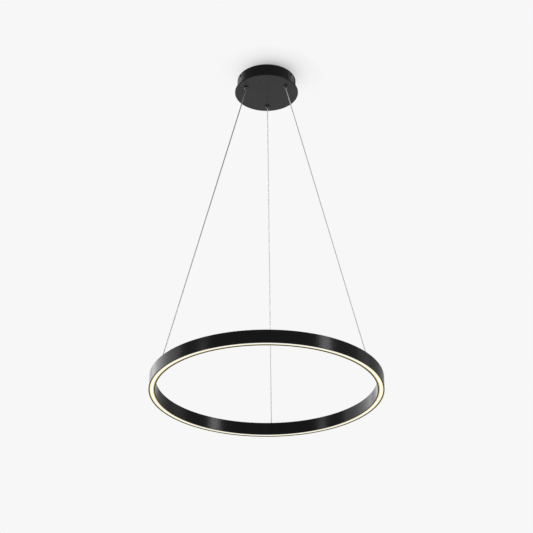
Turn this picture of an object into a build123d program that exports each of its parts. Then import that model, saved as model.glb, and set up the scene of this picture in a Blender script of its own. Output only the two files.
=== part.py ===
from build123d import *
import math
import os

# A ring-shaped LED pendant: a black aluminium ring with an opal light strip in its
# underside hangs on three straight cables from a round black ceiling canopy, which holds
# the driver. Millimetres, +Z up. The origin is the middle of the ceiling face, so the
# whole light is below z = 0. The ring is drawn at its lowest, with the cables tight.

# Overall
hang_depth = 966.0  # ceiling to the underside of the ring
ring_radius = 300.0
cable_count = 3
first_cable_angle = 90.0

# Ring profile: a bent aluminium channel with a chamber above and a lamp slot below
ring_width = 17.0
ring_height = 34.0
ring_wall = 1.8
ring_top_web = 2.0
shelf_height = 18.0  # underside of the ring to the underside of the lamp shelf
shelf_thickness = 1.6
slot_width = 11.0
lip_height = 1.6
ring_edge_round = 0.5
seam_angle = 150.0
seam_gap = 0.2

# Opal diffuser, pushed in over the lips
diffuser_recess = 1.1
diffuser_flange = 1.2
diffuser_clearance = 0.15

# Lamp strip
strip_width = 8.0
strip_thickness = 1.0
strip_gap = 2.0
chip_count = 120
chip_length = 3.5
chip_width = 2.8
chip_height = 0.8

# Joint plate inside the ring's seam
splice_length = 44.0
splice_height = 6.0
splice_clearance = 0.3
splice_screw_radius = 2.0
splice_screw_length = 7.0
splice_screw_inset = 6.0  # seam to the nearer screw
splice_screw_spacing = 10.0
splice_screw_depth = 0.2  # below the top of the ring

# Suspension cable and what holds it in the ring
cable_radius = 1.4
bush_flange_radius = 3.6
bush_flange_height = 0.8
bush_body_radius = 2.6
bush_reach = 1.0  # how far it comes through the top of the ring
cable_hole_radius = 1.6  # in the bushes, the plungers and the gripper caps
stop_radius = 3.0
stop_length = 7.0
ring_wire_radius = 0.8
ring_wire_hole_radius = 1.5
ring_wire_spacing = 14.0  # cable to the hole in the shelf, along the ring
ring_wire_bend = 1.2  # in its own radii

# Canopy
canopy_radius = 82.8  # outside of the wall
canopy_height = 41.1
canopy_sheet = 1.2
canopy_gap = 0.5  # ceiling to the top of the wall
plate_overhang = 6.7
plate_thickness = 4.0
plate_edge_round = 0.9
canopy_flange_width = 9.0
plate_screw_inset = 5.0  # inside of the wall to the screw

# Ceiling bracket, which the canopy is screwed to from the side
bracket_thickness = 1.5
bracket_hub_radius = 46.0
bracket_arm_width = 16.0
bracket_bend_round = 1.2
bracket_ear_drop = 13.5
bracket_clearance = 0.4
bracket_hole_radius = 11.0
slot_spacing = 70.0
slot_length = 12.0
slot_radius = 2.5
side_screw_depth = 7.5  # below the ceiling
earth_screw_x = 6.0
earth_screw_y = -30.0
earth_lug_thickness = 0.8
earth_lug_radius = 3.6
earth_tongue_length = 6.0
earth_tongue_overlap = 1.0
earth_screw_inset = 0.1  # its end, below the top of the bracket

# Bush round the supply cable's hole
entry_bore_radius = 6.0
entry_flange_radius = 13.5
entry_flange_height = 2.0
entry_clearance = 0.1

# Small screws: radius of the shank, and of the flat round head
screw_radius = 1.5
screw_head_radius = 2.8
screw_head_height = 2.0
head_round = 0.4  # share of the head's height
slot_reach = 1.2  # length of the slot, as a share of the head's radius
slot_share = 0.25  # and its width
slot_floor = 0.6  # its floor, as a share of the head's height
socket_share = 0.5  # a grub screw's socket, as a share of its radius
screw_hole_clearance = 0.15
thread_clearance = 0.02
screw_bite = 3.0  # how far the inner screws go into the base plate

# Cable grippers in the base plate
gripper_inset = 17.1  # inside of the canopy's wall to the line of the cable
collar_radius = 6.0
collar_height = 5.8
collar_round = 2.4
stem_radius = 4.9
stem_height = 16.0  # underside of the plate to the top of the stem
stem_clearance = 0.1
chamber_radius = 4.0
cone_bottom_radius = 3.25
cone_bottom = 2.0  # above the underside of the plate
cone_height = 4.0
nut_flats = 14.0
nut_thickness = 3.0
nozzle_radius = 3.1
nozzle_clearance = 0.05
plunger_flange_clearance = 0.2
nozzle_mouth = 0.5
nozzle_round = 0.4
nozzle_travel = 1.8
nozzle_left = 0.4  # still below the collar when it is pressed
plunger_flange_height = 1.2
ball_radius = 0.95
ball_count = 3
ball_clearance = 0.03
cap_height = 2.5
cap_spigot = 2.0
cap_chamfer = 0.5
spring_wire_radius = 0.25
spring_coil_radius = 2.9
spring_turns = 5.0
spring_seat_gap = 0.05

# Driver
driver_length = 104.0
driver_width = 38.0
driver_base_height = 14.0
driver_lid_height = 6.0
driver_wall = 1.5
driver_y = 14.0
driver_edge_round = 1.5
case_boss_radius = 3.0
case_boss_bite = 0.5  # how far a screw boss runs into the end wall
case_screw_length = 10.0
case_screw_radius = 1.25
case_screw_head = 2.3
case_screw_head_height = 1.4
board_end_clearance = 1.0  # between the end of the board and a screw boss
board_width = 30.0
board_thickness = 1.6
board_foot_radius = 2.0
board_foot_inset = 4.0
transformer_length = 18.0
transformer_width = 20.0
transformer_height = 10.0
core_leg = 2.5
coil_bulge = 1.5
coil_round = 1.0
component_offset = 4.0  # the tall parts stand behind the wires' ends
capacitor_radius = 4.5
capacitor_height = 9.0
capacitor_spacing = 24.0
capacitor_round = 0.6

# Blocks that join the wires, and the ears that hold them and the driver
ear_length = 8.0
ear_width = 12.0
ear_thickness = 2.0
supply_block_length = 28.0
supply_block_width = 16.0
supply_block_height = 13.0
supply_block_x = -16.0
supply_block_y = -44.0
supply_way_pitch = 9.0
lamp_block_length = 26.0
lamp_block_width = 12.0
lamp_block_height = 11.0
lamp_block_x = 18.0
lamp_block_y = -23.0
lamp_way_pitch = 8.0
block_screw_radius = 1.5
block_screw_length = 4.0
block_edge_round = 1.0
block_chamfer = 0.5
clamp_gap = 0.05

# Wires inside the canopy
wire_height = 7.5  # above the base plate
wire_radius = 1.2
wire_clearance = 0.15
wire_bite = 4.0  # how far a wire goes into a block
wire_bend = 3.0  # bend of a wire or cable, in its own radii
supply_wire_spread = 6.0  # between the two supply wires' bends, in wire radii
supply_wire_x = -40.0
supply_wire_pitch = 7.0
board_reach = 5.0  # how far a wire goes in behind the driver's wall
tail_rise = 12.0  # gripper cap to the middle of the cable where it crosses over
tail_spread = 9.0
tail_pitch = 5.4

# How far a cutter reaches past what it cuts
beyond = 1.0

# Places worked out from the sizes above
plate_bottom = -canopy_height
plate_top = plate_bottom + plate_thickness
canopy_inside = canopy_radius - canopy_sheet
gripper_circle = canopy_inside - gripper_inset
ring_bottom = -hang_depth
ring_top = ring_bottom + ring_height
ring_middle = ring_radius - ring_width / 2
chamber_half = ring_width / 2 - ring_wall
shelf_bottom = ring_bottom + shelf_height
shelf_top = shelf_bottom + shelf_thickness
chamber_top = ring_top - ring_top_web
bush_top = ring_top + bush_flange_height
bush_bottom = chamber_top - bush_reach
stop_bottom = bush_bottom - stop_length
stem_top = plate_bottom + stem_height
cap_top = stem_top + cap_height
collar_bottom = plate_bottom - collar_height
nozzle_bottom = collar_bottom - nozzle_travel - nozzle_left
wire_level = plate_top + wire_height
tail_level = cap_top + tail_rise
cable_angles = [first_cable_angle + i * 360 / cable_count for i in range(cable_count)]
chip_pitch = 360 / chip_count


def section(inner, outer, low, high):
    """A rectangle in a round piece's section: radius across, height up."""
    return Pos((inner + outer) / 2, (low + high) / 2) * Rectangle(outer - inner, high - low)


def turned(profile):
    """The round solid that a section makes about the z axis."""
    return revolve(Plane.XZ * profile, Axis.Z)


def tube(inner, outer, low, high):
    """A tube, or with no inner radius a rod, standing on the z axis."""
    return turned(section(inner, outer, low, high))


def block(length, width, low, high):
    """A box on the z axis between two heights."""
    return Pos(0, 0, (low + high) / 2) * Box(length, width, high - low)


def around(angle, shape, distance=0.0):
    """The shape moved out along x and turned about the z axis."""
    return Rot(0, 0, angle) * Pos(distance, 0, 0) * shape


def pan_screw(length, radius=screw_radius, head=screw_head_radius, height=screw_head_height):
    """A slotted round-headed screw pointing down, with the underside of its head at z = 0."""
    screw = tube(0, head, 0, height)
    screw = fillet(screw.edges().group_by(Axis.Z)[-1], height * head_round)
    screw += tube(0, radius, -length, 0)
    return screw - block(head * slot_reach, head * slot_share, height * slot_floor, height + beyond)


def grub_screw(radius, length):
    """A headless screw pointing down from z = 0, with a hexagon socket."""
    socket = extrude(RegularPolygon(radius * socket_share, 6), -radius)
    return tube(0, radius, -length, 0) - socket


def wire(points, radius, bend):
    """A round wire along straight runs joined by arcs."""
    path = FilletPolyline(*points, radius=bend)
    return sweep(Plane(points[0], z_dir=path % 0) * Circle(radius), path)


def save(shape, name):
    export_step(shape, f"parts/{name}.step")


# Ring


def ring_profile():
    low, high = ring_middle - ring_width / 2, ring_radius
    walls = section(low, high, ring_bottom, ring_top)
    walls = fillet(walls.vertices(), min(ring_edge_round, ring_wall * 0.4))
    inner, outer = ring_middle - chamber_half, ring_middle + chamber_half
    walls -= section(inner, outer, shelf_top, chamber_top)
    walls -= section(inner, outer, ring_bottom + lip_height, shelf_bottom)
    inner, outer = ring_middle - slot_width / 2, ring_middle + slot_width / 2
    walls -= section(inner, outer, ring_bottom - beyond, ring_bottom + lip_height)
    seam = block(ring_width * 2, seam_gap, ring_bottom - beyond, ring_top + beyond)
    ring = turned(walls) - around(seam_angle, seam, ring_middle)
    for angle in cable_angles:
        hole = tube(0, bush_body_radius, chamber_top - beyond, ring_top + beyond)
        ring -= around(angle, hole, ring_middle)
    for angle in cable_angles[:2]:
        hole = tube(0, ring_wire_hole_radius, shelf_bottom - beyond, shelf_top + beyond)
        ring -= around(angle + ring_wire_turn(), hole, ring_middle)
    for turn in splice_screw_turns():
        hole = tube(0, splice_screw_radius + thread_clearance, chamber_top - beyond, ring_top + beyond)
        ring -= around(seam_angle + turn, hole, ring_middle)
    return ring


def ring_wire_turn():
    """The angle along the ring from a cable to its wire's hole in the shelf."""
    return math.degrees(ring_wire_spacing / ring_middle)


def splice_screw_turns():
    """The angles of the joint plate's screws on both sides of the seam."""
    near = math.degrees(splice_screw_inset / ring_middle)
    far = near + math.degrees(splice_screw_spacing / ring_middle)
    return [-far, -near, near, far]


def ring_diffuser():
    half_face = slot_width / 2 - diffuser_clearance
    half_flange = chamber_half - diffuser_clearance
    lip_top = ring_bottom + lip_height
    face = section(ring_middle - half_face, ring_middle + half_face, ring_bottom + diffuser_recess, lip_top)
    flange_top = lip_top + diffuser_flange
    flange = section(ring_middle - half_flange, ring_middle + half_flange, lip_top, flange_top)
    return turned(face + flange)


def led_strip():
    half = strip_width / 2
    strip = tube(ring_middle - half, ring_middle + half, shelf_bottom - strip_thickness, shelf_bottom)
    gap = Pos(0, 0, shelf_bottom) * Box(strip_width * 2, strip_gap, strip_thickness * 4)
    return strip - around(seam_angle, gap, ring_middle)


def led_chips():
    top = shelf_bottom - strip_thickness
    chip = block(chip_width, chip_length, top - chip_height, top)
    angles = [seam_angle + (i + 0.5) * chip_pitch for i in range(chip_count)]
    return Compound([around(angle, chip, ring_middle) for angle in angles])


def ring_splice():
    half = chamber_half - splice_clearance
    bar = tube(ring_middle - half, ring_middle + half, chamber_top - splice_height, chamber_top)
    bar &= around(seam_angle, block(ring_width * 3, splice_length, ring_bottom, ring_top), ring_middle)
    for turn in splice_screw_turns():
        low = chamber_top - splice_height - beyond
        hole = tube(0, splice_screw_radius + thread_clearance, low, ring_top)
        bar -= around(seam_angle + turn, hole, ring_middle)
    return bar


def splice_screws():
    screw = Pos(0, 0, ring_top - splice_screw_depth) * grub_screw(splice_screw_radius, splice_screw_length)
    return Compound([around(seam_angle + turn, screw, ring_middle) for turn in splice_screw_turns()])


def at_cables(shape):
    """One copy of the shape where each cable enters the ring."""
    return Compound([around(angle, shape, ring_middle) for angle in cable_angles])


def cable_bushes():
    flange = tube(cable_hole_radius, bush_flange_radius, ring_top, bush_top)
    rim = flange.edges().group_by(Axis.Z)[-1].sort_by(SortBy.RADIUS)[-1]
    flange = fillet(rim, bush_flange_height * 0.6)
    body = tube(cable_hole_radius, bush_body_radius, bush_bottom, ring_top)
    return at_cables(flange + body)


def cable_stops():
    return at_cables(tube(cable_radius, stop_radius, stop_bottom, bush_bottom))


def cable_ends():
    return at_cables(tube(0, cable_radius, stop_bottom, bush_top))


def ring_wires():
    """The two wires that take the current from the cables' ends down to the strip."""
    run = stop_bottom - 2 * ring_wire_radius
    along = ring_wire_spacing
    points = [(0, 0, stop_bottom), (0, 0, run), (0, along, run), (0, along, shelf_bottom)]
    lead = wire(points, ring_wire_radius, ring_wire_bend * ring_wire_radius)
    return Compound([around(angle, lead, ring_middle) for angle in cable_angles[:2]])


# Cables


def free_cable(angle):
    """The tight cable from the mouth of its gripper to the bush in the ring."""
    top = Vector(gripper_circle, 0, nozzle_bottom)
    bottom = Vector(ring_middle, 0, bush_top)
    run = bottom - top
    across = cable_radius / abs(run.normalized().Z)
    start = Plane(top) * Ellipse(across, cable_radius)
    return Rot(0, 0, angle) * Solid.extrude(start.face(), run)


def cable_tail(index):
    """The end of a cable inside the canopy, from its gripper over to the lamp block."""
    angle = math.radians(cable_angles[index])
    x, y = gripper_circle * math.cos(angle), gripper_circle * math.sin(angle)
    way = lamp_way(index)
    front = lamp_block_y - lamp_block_width / 2
    drop_y = front - tail_spread - index * tail_pitch
    points = [(x, y, nozzle_bottom), (x, y, tail_level)]
    if y > 0:
        points.append((way, driver_y + driver_width / 2, tail_level))
    points.append((way, drop_y, tail_level))
    points.append((way, drop_y, wire_level))
    points.append((way, front + wire_bite, wire_level))
    return wire(points, cable_radius, wire_bend * cable_radius)


# Grippers


def gripper_body():
    collar = tube(0, collar_radius, collar_bottom, plate_bottom)
    collar = fillet(collar.edges().group_by(Axis.Z)[0], collar_round)
    body = collar + tube(0, stem_radius, plate_bottom, stem_top)
    cone_low = plate_bottom + cone_bottom
    cone_high = cone_low + cone_height
    body -= tube(0, nozzle_radius + nozzle_clearance, collar_bottom - beyond, cone_low)
    body -= Pos(0, 0, (cone_low + cone_high) / 2) * Cone(cone_bottom_radius, chamber_radius, cone_height)
    return body - tube(0, chamber_radius, cone_high, stem_top + beyond)


def gripper_nut():
    nut = extrude(RegularPolygon(nut_flats / 2, 6, major_radius=False), nut_thickness)
    nut = Pos(0, 0, plate_top) * nut
    return nut - tube(0, stem_radius + thread_clearance, plate_bottom, stem_top)


def gripper_cap():
    cap = tube(0, stem_radius, stem_top, cap_top)
    cap = chamfer(cap.edges().group_by(Axis.Z)[-1], cap_chamfer)
    cap += tube(0, chamber_radius - thread_clearance, stem_top - cap_spigot, stem_top)
    return cap - tube(0, cable_hole_radius, stem_top - cap_spigot - beyond, cap_top + beyond)


def flange_low():
    """The height where the plunger's flange clears the cone by its running gap."""
    flange = plunger_flange_radius() + nozzle_clearance
    slope = (chamber_radius - cone_bottom_radius) / cone_height
    return plate_bottom + cone_bottom + (flange - cone_bottom_radius) / slope


def plunger_flange_radius():
    return chamber_radius - plunger_flange_clearance


def ball_place():
    """The balls' radius from the cable's line and their height, resting on the cone."""
    slope = (chamber_radius - cone_bottom_radius) / cone_height
    reach = cable_radius + ball_radius + ball_clearance
    wall = reach + (ball_radius + ball_clearance) * math.hypot(1, slope)
    return reach, plate_bottom + cone_bottom + (wall - cone_bottom_radius) / slope


def gripper_plunger():
    low = flange_low()
    high = low + plunger_flange_height
    plunger = tube(0, nozzle_radius, nozzle_bottom, high)
    plunger += tube(0, plunger_flange_radius(), low, high)
    plunger = fillet(plunger.edges().group_by(Axis.Z)[0], nozzle_round)
    plunger -= tube(0, cable_hole_radius, nozzle_bottom - beyond, high + beyond)
    mouth = Cone(cable_hole_radius + nozzle_mouth, cable_hole_radius, nozzle_mouth)
    plunger -= Pos(0, 0, nozzle_bottom + nozzle_mouth / 2) * mouth
    height = ball_place()[1]
    hole = Rot(0, 90, 0) * Cylinder(ball_radius + ball_clearance, chamber_radius)
    for angle in ball_angles():
        plunger -= Pos(0, 0, height) * around(angle, hole, chamber_radius / 2)
    return plunger


def ball_angles():
    return [i * 360 / ball_count for i in range(ball_count)]


def gripper_balls():
    reach, height = ball_place()
    ball = Pos(0, 0, height) * Sphere(ball_radius)
    return Compound([around(angle, ball, reach) for angle in ball_angles()])


def gripper_spring():
    """A coil spring between the plunger's flange and the cap, as one unbroken tube."""
    end_gap = spring_seat_gap + spring_wire_radius
    low = flange_low() + plunger_flange_height + end_gap
    high = stem_top - cap_spigot - end_gap
    pitch = (high - low) / spring_turns
    print(f"spring: gap between turns {pitch - 2 * spring_wire_radius:.2f} mm")
    path = Helix(pitch, high - low, spring_coil_radius)
    start = Plane(path @ 0, z_dir=path % 0) * Circle(spring_wire_radius)
    return Pos(0, 0, low) * sweep(start, path, is_frenet=True)


def at_grippers(shape):
    return Compound([around(angle, shape, gripper_circle) for angle in cable_angles])


# Canopy


def canopy_wall():
    wall = section(canopy_inside, canopy_radius, plate_top, -canopy_gap)
    wall += section(canopy_inside - canopy_flange_width, canopy_inside, plate_top, plate_top + canopy_sheet)
    shell = turned(wall)
    hole = Cylinder(screw_radius + screw_hole_clearance, canopy_sheet * 4)
    for angle in cable_angles:
        shell -= around(angle, Pos(0, 0, -side_screw_depth) * Rot(0, 90, 0) * hole, canopy_radius)
    for angle in plate_screw_angles():
        high = plate_top + canopy_sheet + beyond
        hole = tube(0, screw_radius + screw_hole_clearance, plate_top - beyond, high)
        shell -= around(angle, hole, canopy_inside - plate_screw_inset)
    return shell


def plate_screw_angles():
    return [angle + 180 / cable_count for angle in cable_angles]


def fixing_places():
    """Where the driver and the two blocks are screwed to the base plate."""
    places = []
    for x, y, length in (
        (0, driver_y, driver_length),
        (supply_block_x, supply_block_y, supply_block_length),
        (lamp_block_x, lamp_block_y, lamp_block_length),
    ):
        places += [(x + side * (length + ear_length) / 2, y) for side in (-1, 1)]
    return places


def canopy_base_plate():
    plate = tube(0, canopy_radius + plate_overhang, plate_bottom, plate_top)
    plate = fillet(plate.edges(), min(plate_edge_round, plate_thickness * 0.4))
    for angle in cable_angles:
        hole = tube(0, stem_radius + stem_clearance, plate_bottom - beyond, plate_top + beyond)
        plate -= around(angle, hole, gripper_circle)
    thread = tube(0, screw_radius + thread_clearance, plate_top - screw_bite, plate_top + beyond)
    for angle in plate_screw_angles():
        plate -= around(angle, thread, canopy_inside - plate_screw_inset)
    for x, y in fixing_places():
        plate -= Pos(x, y, 0) * thread
    return plate


def base_plate_screws():
    seat = plate_top + canopy_sheet
    screw = Pos(0, 0, seat) * pan_screw(canopy_sheet + screw_bite)
    return Compound([around(a, screw, canopy_inside - plate_screw_inset) for a in plate_screw_angles()])


def fixing_screws():
    screw = Pos(0, 0, plate_top + ear_thickness) * pan_screw(ear_thickness + screw_bite)
    return Compound([Pos(x, y, 0) * screw for x, y in fixing_places()])


# Ceiling bracket


def ear_face():
    """The distance of a bracket ear's outer face from the middle, clear of the round wall."""
    half = bracket_arm_width / 2
    return math.sqrt((canopy_inside - bracket_clearance) ** 2 - half**2)


def bracket_arm():
    """A flat arm with its end bent down, along +x."""
    face = ear_face()
    outline = [
        (0, 0),
        (face, 0),
        (face, -bracket_ear_drop),
        (face - bracket_thickness, -bracket_ear_drop),
        (face - bracket_thickness, -bracket_thickness),
        (0, -bracket_thickness),
    ]
    side = make_face(Polyline(*outline, close=True))
    bend = side.vertices().sort_by(lambda corner: corner.X + corner.Y)[-1]
    side = fillet(bend, bracket_bend_round)
    arm = extrude(Plane.XZ * side, bracket_arm_width / 2, both=True)
    hole = Rot(0, 90, 0) * Cylinder(screw_radius + thread_clearance, bracket_thickness * 4)
    return arm - Pos(face, 0, -side_screw_depth) * hole


def ceiling_bracket():
    bracket = tube(0, bracket_hub_radius, -bracket_thickness, 0)
    for angle in cable_angles:
        bracket += around(angle, bracket_arm())
    bracket -= tube(0, bracket_hole_radius, -bracket_thickness - beyond, beyond)
    slot = extrude(SlotOverall(slot_length, 2 * slot_radius), bracket_thickness * 2, both=True)
    for side in (-1, 1):
        bracket -= Pos(side * slot_spacing / 2, 0, 0) * slot
    thread = tube(0, screw_radius + thread_clearance, -bracket_thickness - beyond, beyond)
    return bracket - Pos(earth_screw_x, earth_screw_y, 0) * thread


def canopy_side_screws():
    length = canopy_radius - ear_face() + 2 * bracket_thickness
    screw = Rot(0, 90, 0) * pan_screw(length)
    return Compound([around(a, Pos(0, 0, -side_screw_depth) * screw, canopy_radius) for a in cable_angles])


def entry_bush():
    low = -bracket_thickness - entry_flange_height
    bush = tube(0, entry_flange_radius, low, -bracket_thickness)
    bush = fillet(bush.edges().group_by(Axis.Z)[0], entry_flange_height * 0.4)
    bush += tube(0, bracket_hole_radius - entry_clearance, -bracket_thickness, -entry_clearance)
    return bush - tube(0, entry_bore_radius, low - beyond, beyond)


def earth_screw():
    lug_top = -bracket_thickness - earth_lug_thickness
    screw = pan_screw(bracket_thickness + earth_lug_thickness - earth_screw_inset)
    screw = Pos(0, 0, lug_top) * Rot(180, 0, 0) * screw
    return Pos(earth_screw_x, earth_screw_y, 0) * screw


def earth_lug():
    """The ring tongue on the earth wire, under the earth screw."""
    top = -bracket_thickness
    ring = tube(screw_radius + screw_hole_clearance, earth_lug_radius, top - earth_lug_thickness, top)
    tongue = block(earth_tongue_length, 4 * wire_radius, top - earth_lug_thickness, top)
    tongue = Pos(earth_tongue_overlap - earth_lug_radius - earth_tongue_length / 2, 0, 0) * tongue
    hole = tube(0, screw_radius + screw_hole_clearance, top - 2 * earth_lug_thickness, top + beyond)
    return Pos(earth_screw_x, earth_screw_y, 0) * (ring + tongue - hole)


# Driver


def driver_floor():
    return plate_top + driver_wall


def driver_rim():
    return plate_top + driver_base_height


def boss_x():
    return driver_length / 2 - driver_wall - case_boss_radius + case_boss_bite


def ears(length):
    """The two screw ears at the ends of a piece that stands on the base plate."""
    whole = block(length + 2 * ear_length, ear_width, plate_top, plate_top + ear_thickness)
    for side in (-1, 1):
        high = plate_top + ear_thickness + beyond
        hole = tube(0, screw_radius + screw_hole_clearance, plate_top - beyond, high)
        whole -= Pos(side * (length + ear_length) / 2, 0, 0) * hole
    return whole


def driver_case_base():
    case = block(driver_length, driver_width, plate_top, driver_rim())
    case = fillet(case.edges().filter_by(Axis.Z), driver_edge_round)
    case += ears(driver_length)
    inside = block(driver_length - 2 * driver_wall, driver_width - 2 * driver_wall, driver_floor(), 0)
    case -= inside
    for side in (-1, 1):
        case += Pos(side * boss_x(), 0, 0) * tube(0, case_boss_radius, driver_floor(), driver_rim())
    thread = tube(0, case_screw_radius + thread_clearance, driver_floor(), 0)
    for side in (-1, 1):
        case -= Pos(side * boss_x(), 0, 0) * thread
    for x in driver_wire_places():
        hole = Rot(90, 0, 0) * Cylinder(wire_radius + wire_clearance, driver_wall * 4)
        case -= Pos(x, -driver_width / 2, wire_level) * hole
    return Pos(0, driver_y, 0) * case


def driver_case_lid():
    rim = driver_rim()
    lid = block(driver_length, driver_width, rim, rim + driver_lid_height)
    lid = fillet(lid.edges().filter_by(Axis.Z), driver_edge_round)
    lid = fillet(lid.edges().group_by(Axis.Z)[-1], driver_edge_round * 0.6)
    hollow_top = rim + driver_lid_height - driver_wall
    lid -= block(driver_length - 2 * driver_wall, driver_width - 2 * driver_wall, rim - beyond, hollow_top)
    hole = tube(0, case_screw_radius + screw_hole_clearance, rim - beyond, hollow_top + driver_wall + beyond)
    for side in (-1, 1):
        lid += Pos(side * boss_x(), 0, 0) * tube(0, case_boss_radius, rim, hollow_top)
        lid -= Pos(side * boss_x(), 0, 0) * hole
    return Pos(0, driver_y, 0) * lid


def driver_case_screws():
    top = driver_rim() + driver_lid_height
    length = driver_lid_height + case_screw_length
    screw = Pos(0, 0, top) * pan_screw(length, case_screw_radius, case_screw_head, case_screw_head_height)
    return Compound([Pos(side * boss_x(), driver_y, 0) * screw for side in (-1, 1)])


def board_length():
    return 2 * (boss_x() - case_boss_radius - board_end_clearance)


def board_top():
    return wire_level - wire_radius


def driver_board():
    """The printed board on its four feet."""
    low = board_top() - board_thickness
    board = block(board_length(), board_width, low, board_top())
    foot = tube(0, board_foot_radius, driver_floor(), low)
    foot_x, foot_y = board_length() / 2 - board_foot_inset, board_width / 2 - board_foot_inset
    for x in (-foot_x, foot_x):
        for y in (-foot_y, foot_y):
            board += Pos(x, y, 0) * foot
    return Pos(0, driver_y, 0) * board


def driver_transformer():
    low = board_top()
    core = block(transformer_length, transformer_width, low, low + transformer_height)
    coil_width = transformer_width + 2 * coil_bulge
    coil_low, coil_high = low + core_leg, low + transformer_height - core_leg
    coil = block(transformer_length - 2 * core_leg, coil_width, coil_low, coil_high)
    coil = fillet(coil.edges().filter_by(Axis.X), coil_round)
    return Pos(0, driver_y + component_offset, 0) * (core + coil)


def driver_capacitors():
    low = board_top()
    can = tube(0, capacitor_radius, low, low + capacitor_height)
    can = fillet(can.edges().group_by(Axis.Z)[-1], capacitor_round)
    can = Pos(0, driver_y + component_offset, 0) * can
    return Compound([Pos(side * capacitor_spacing, 0, 0) * can for side in (-1, 1)])


def driver_wire_places():
    """The x of every wire through the driver's front wall."""
    return [supply_wire_x, supply_wire_x + supply_wire_pitch, lamp_way(0), lamp_way(1)]


# Blocks and wires


def supply_way(index):
    return supply_block_x + (index - 1) * supply_way_pitch


def lamp_way(index):
    return lamp_block_x + (index - 1) * lamp_way_pitch


def way_block(length, width, height, ways):
    """An insulating block with a wire hole and a clamp screw for each way."""
    body = block(length, width, plate_top, plate_top + height)
    body = fillet(body.edges().filter_by(Axis.Z), block_edge_round)
    body = chamfer(body.edges().group_by(Axis.Z)[-1], block_chamfer)
    body += ears(length)
    for x, radius in ways:
        tunnel = Rot(90, 0, 0) * Cylinder(radius + wire_clearance, width * 2)
        body -= Pos(x, 0, wire_level) * tunnel
        for side in (-1, 1):
            shaft = tube(0, block_screw_radius + wire_clearance, wire_level, plate_top + height + beyond)
            body -= Pos(x, side * way_screw_y(width), 0) * shaft
    return body


def way_screw_y(width):
    return width / 2 - wire_bite + block_screw_radius


def way_screws(width, places):
    """Two clamp screws for each (x, wire radius): one for each wire end."""
    screws = []
    for x, radius in places:
        for side in (-1, 1):
            low = wire_level + radius + clamp_gap
            screw = Pos(0, 0, low + block_screw_length) * grub_screw(block_screw_radius, block_screw_length)
            screws.append(Pos(x, side * way_screw_y(width), 0) * screw)
    return screws


def supply_ways():
    return [(supply_way(i) - supply_block_x, wire_radius) for i in range(3)]


def lamp_ways():
    return [(lamp_way(i) - lamp_block_x, cable_radius) for i in range(3)]


def supply_block():
    shape = way_block(supply_block_length, supply_block_width, supply_block_height, supply_ways())
    return Pos(supply_block_x, supply_block_y, 0) * shape


def supply_block_screws():
    screws = way_screws(supply_block_width, supply_ways())
    return Compound([Pos(supply_block_x, supply_block_y, 0) * screw for screw in screws])


def lamp_block():
    shape = way_block(lamp_block_length, lamp_block_width, lamp_block_height, lamp_ways())
    return Pos(lamp_block_x, lamp_block_y, 0) * shape


def lamp_block_screws():
    screws = way_screws(lamp_block_width, lamp_ways())
    return Compound([Pos(lamp_block_x, lamp_block_y, 0) * screw for screw in screws])


def supply_wire(index):
    """A wire from the supply block round to the driver."""
    back = supply_block_y + supply_block_width / 2
    front = driver_y - driver_width / 2
    x_in = supply_wire_x + index * supply_wire_pitch
    x_way = supply_way(index)
    turn_y = (back + front) / 2 - (0.5 - index) * supply_wire_spread * wire_radius
    points = [
        (x_in, front + driver_wall + board_reach, wire_level),
        (x_in, turn_y, wire_level),
        (x_way, turn_y, wire_level),
        (x_way, back - wire_bite, wire_level),
    ]
    return wire(points, wire_radius, wire_bend * wire_radius)


def lamp_wires():
    """The two low-voltage wires from the driver to the lamp block."""
    front = driver_y - driver_width / 2
    back = lamp_block_y + lamp_block_width / 2
    start = front + driver_wall + board_reach
    low = back - wire_bite
    rod = Pos(0, (start + low) / 2, wire_level) * Rot(90, 0, 0) * Cylinder(wire_radius, start - low)
    return Compound([Pos(lamp_way(i), 0, 0) * rod for i in range(2)])


def earth_wire():
    """The wire from the supply block's earth way up to the tongue on the bracket."""
    back = supply_block_y + supply_block_width / 2
    top = -bracket_thickness - earth_lug_thickness - wire_radius
    points = [
        (supply_way(2), back - wire_bite, wire_level),
        (supply_way(2), earth_screw_y, wire_level),
        (supply_way(2), earth_screw_y, top),
        (earth_screw_x - earth_lug_radius, earth_screw_y, top),
    ]
    return wire(points, wire_radius, wire_bend * wire_radius)


os.makedirs("parts", exist_ok=True)

save(ceiling_bracket(), "ceiling_bracket")
save(entry_bush(), "cable_entry_bush")
save(earth_screw(), "earth_screw")
save(earth_lug(), "earth_lug")
save(earth_wire(), "earth_wire")
save(canopy_wall(), "canopy_wall")
save(canopy_base_plate(), "canopy_base_plate")
save(canopy_side_screws(), "canopy_side_screws")
save(base_plate_screws(), "base_plate_screws")
save(fixing_screws(), "fixing_screws")
save(driver_case_base(), "driver_case_base")
save(driver_case_lid(), "driver_case_lid")
save(driver_case_screws(), "driver_case_screws")
save(driver_board(), "driver_board")
save(driver_transformer(), "driver_transformer")
save(driver_capacitors(), "driver_capacitors")
save(supply_block(), "supply_terminal_block")
save(supply_block_screws(), "supply_terminal_screws")
save(lamp_block(), "lamp_terminal_block")
save(lamp_block_screws(), "lamp_terminal_screws")
save(supply_wire(0), "live_wire")
save(supply_wire(1), "neutral_wire")
save(lamp_wires(), "lamp_wires")
save(at_grippers(gripper_nut()), "gripper_nuts")
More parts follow.
